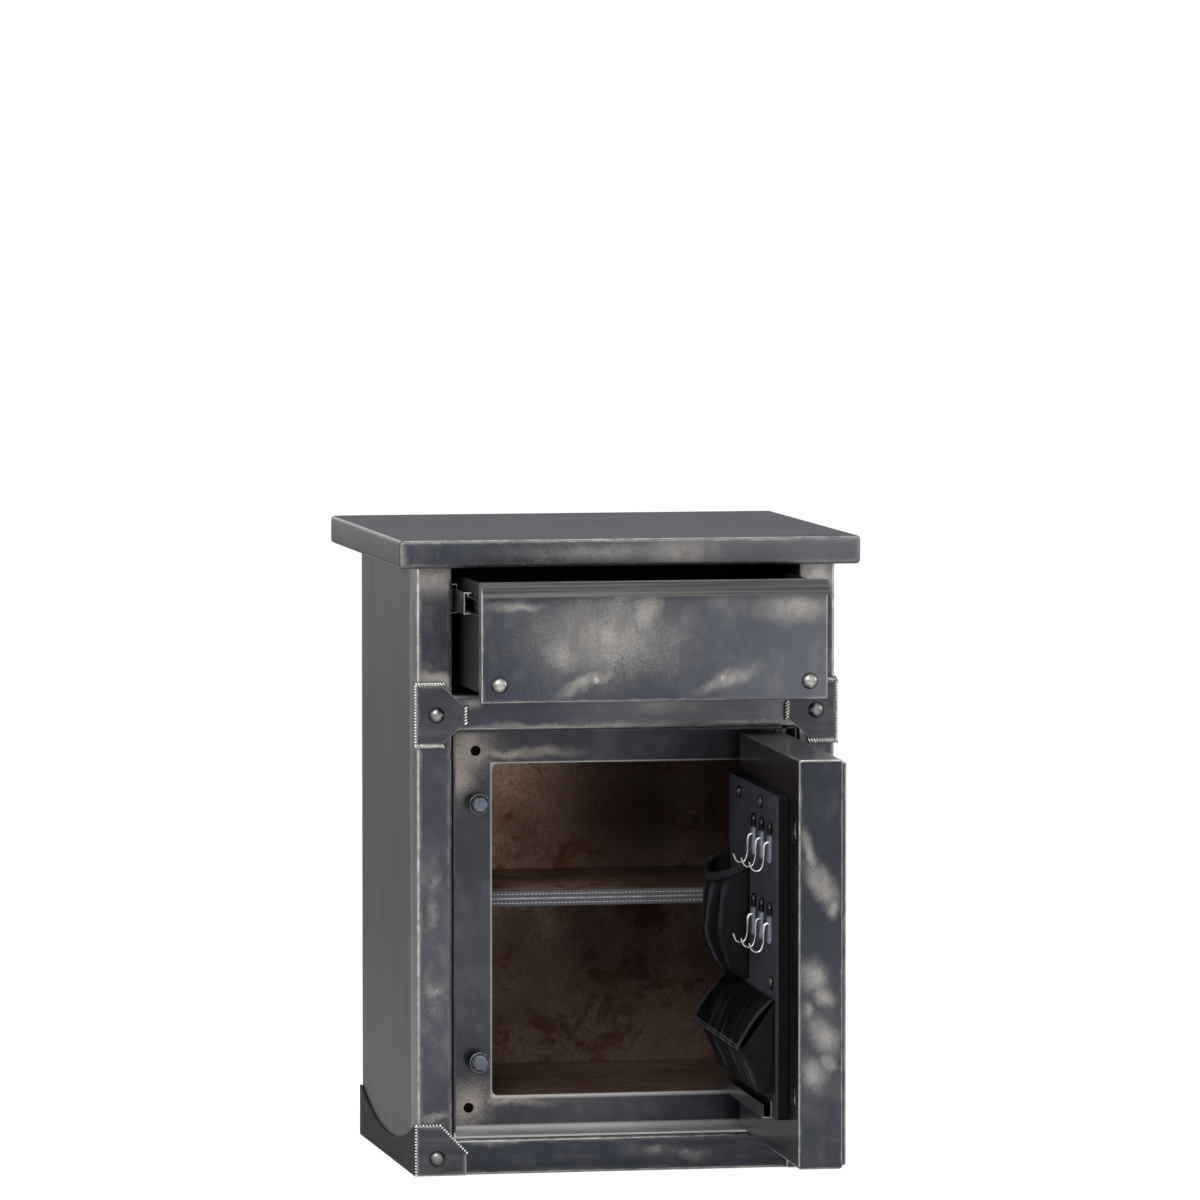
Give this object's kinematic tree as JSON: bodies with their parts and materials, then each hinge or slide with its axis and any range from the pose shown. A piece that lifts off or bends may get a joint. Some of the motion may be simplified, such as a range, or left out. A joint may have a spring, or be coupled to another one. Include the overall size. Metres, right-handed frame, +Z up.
{
  "type": "bedside home safe",
  "caption": "Bedside cabinet safe in a dark welded steel frame: a drawer over an inset lockable door with a lined compartment, a shelf, and an organizer with hooks and pouches inside the door.",
  "frame": {"origin": "middle of the cabinet's underside, at floor level; the slab's overhang, the pulled drawer and the open door reach past it unevenly", "axes": "+Z up, -Y out of the front towards the user, +X to the user's right; stored as pictured, with the door 88 degrees open and the drawer pulled 178 mm"},
  "size_m": [0.5588, 0.8728, 0.762],
  "materials": {
    "frame_steel": "dark bluish steel under clear coat, burnished to bright metal in patches and along the edges",
    "slab_steel": "even dark grey steel under satin clear coat, worn bright along the edges",
    "panel_steel": "satin dark grey steel",
    "dark_sheet": "satin dark grey powder coat",
    "black_powder": "matt black powder coat",
    "zinc_steel": "bright zinc plate",
    "bright_steel": "bare bright steel",
    "rust_lining": "mottled rust-brown distressed lining",
    "black_trim": "black leather-look trim with light stitching",
    "black_fabric": "black woven nylon",
    "board_plastic": "black board with a fine leather grain, rubbed in places",
    "clear_hook": "clear plastic base with a bright steel wire",
    "dial_black": "satin black with light marks"
  },
  "bodies": {
    "cabinet": {"left_stile": "frame_steel", "right_stile": "frame_steel", "middle_rail": "frame_steel", "bottom_rail": "frame_steel", "left_side_panel": "panel_steel", "right_side_panel": "panel_steel", "back_panel": "panel_steel", "base_panel": "dark_sheet", "divider_panel": "dark_sheet", "top_slab": "slab_steel", "door_frame": "frame_steel", "strike_stud_upper": "zinc_steel", "strike_stud_lower": "zinc_steel", "safe_floor": "rust_lining", "left_lining": "rust_lining", "right_lining": "rust_lining", "back_lining": "rust_lining", "shelf": "rust_lining", "shelf_trim": "black_trim", "shelf_cleat_left": "dark_sheet", "shelf_cleat_right": "dark_sheet", "floor_cleat_left": "dark_sheet", "floor_cleat_right": "dark_sheet", "left_bay_wall": "black_powder", "right_bay_wall": "black_powder", "left_skirt": "panel_steel", "right_skirt": "panel_steel", "left_middle_gusset": "frame_steel", "left_foot_gusset": "frame_steel", "right_middle_gusset": "frame_steel", "right_foot_gusset": "frame_steel", "slide_outer_left": "zinc_steel", "slide_outer_right": "zinc_steel", "pivot_pin_lower": "bright_steel", "pivot_pin_upper": "bright_steel"},
    "door": {"door_shell": "frame_steel", "door_overlay": "frame_steel", "lock_case": "zinc_steel", "dial_ring": "dial_black", "organizer_board": "board_plastic", "organizer_tray": "dark_sheet", "key_hook_upper_1": "clear_hook", "key_hook_upper_2": "clear_hook", "key_hook_upper_3": "clear_hook", "key_hook_lower_1": "clear_hook", "key_hook_lower_2": "clear_hook", "key_hook_lower_3": "clear_hook", "flap_pouch": "black_fabric", "holster_pouch": "black_fabric"},
    "pouch_flap": {"pouch_flap": "black_fabric"},
    "dial": {"combination_dial": "dial_black"},
    "handle": {"handle": "dial_black", "latch_crank": "zinc_steel"},
    "latch_bar": {"latch_bar": "zinc_steel"},
    "drawer": {"drawer_front": "frame_steel", "drawer_box": "black_powder", "slide_inner_left": "zinc_steel", "slide_inner_right": "zinc_steel"},
    "slide_middle_left": {"slide_middle_left": "zinc_steel"},
    "slide_middle_right": {"slide_middle_right": "zinc_steel"}
  },
  "joints": [
    {"name": "door_swing", "type": "hinge", "parent": "cabinet", "child": "door", "pos_m": [0.19, -0.193, 0.3], "axis": [0, 0, 1], "range_deg": [-88.1, 21.9]},
    {"name": "handle_turn", "type": "hinge", "parent": "door", "child": "handle", "pos_m": [0.21368, -0.38389, 0.2845], "axis": [0.9995, -0.0332, 0], "range_deg": [0, 90]},
    {"name": "latch_slide", "type": "slide", "parent": "door", "child": "latch_bar", "axis": [0, 0, 1], "range_m": [-0.0201, 0]},
    {"name": "dial_turn", "type": "hinge", "parent": "door", "child": "dial", "pos_m": [0.20869, -0.38372, 0.3765], "axis": [0.9995, -0.0332, 0], "continuous": true},
    {"name": "flap_lift", "type": "hinge", "parent": "door", "child": "pouch_flap", "pos_m": [0.12166, -0.34081, 0.237], "axis": [0.0332, 0.9995, 0], "range_deg": [0, 55]},
    {"name": "drawer_slide", "type": "slide", "parent": "cabinet", "child": "drawer", "axis": [0, 1, 0], "range_m": [-0.172, 0.178]},
    {"name": "slide_left_travel", "type": "slide", "parent": "cabinet", "child": "slide_middle_left", "axis": [0, 1, 0], "range_m": [-0.0861, 0.0891]},
    {"name": "slide_right_travel", "type": "slide", "parent": "cabinet", "child": "slide_middle_right", "axis": [0, 1, 0], "range_m": [-0.0861, 0.0891]}
  ],
  "couplings": [
    {"joint": "latch_slide", "follows": "handle_turn", "m_per_rad": -0.012732},
    {"joint": "slide_left_travel", "follows": "drawer_slide", "ratio": 0.5},
    {"joint": "slide_right_travel", "follows": "drawer_slide", "ratio": 0.5}
  ]
}
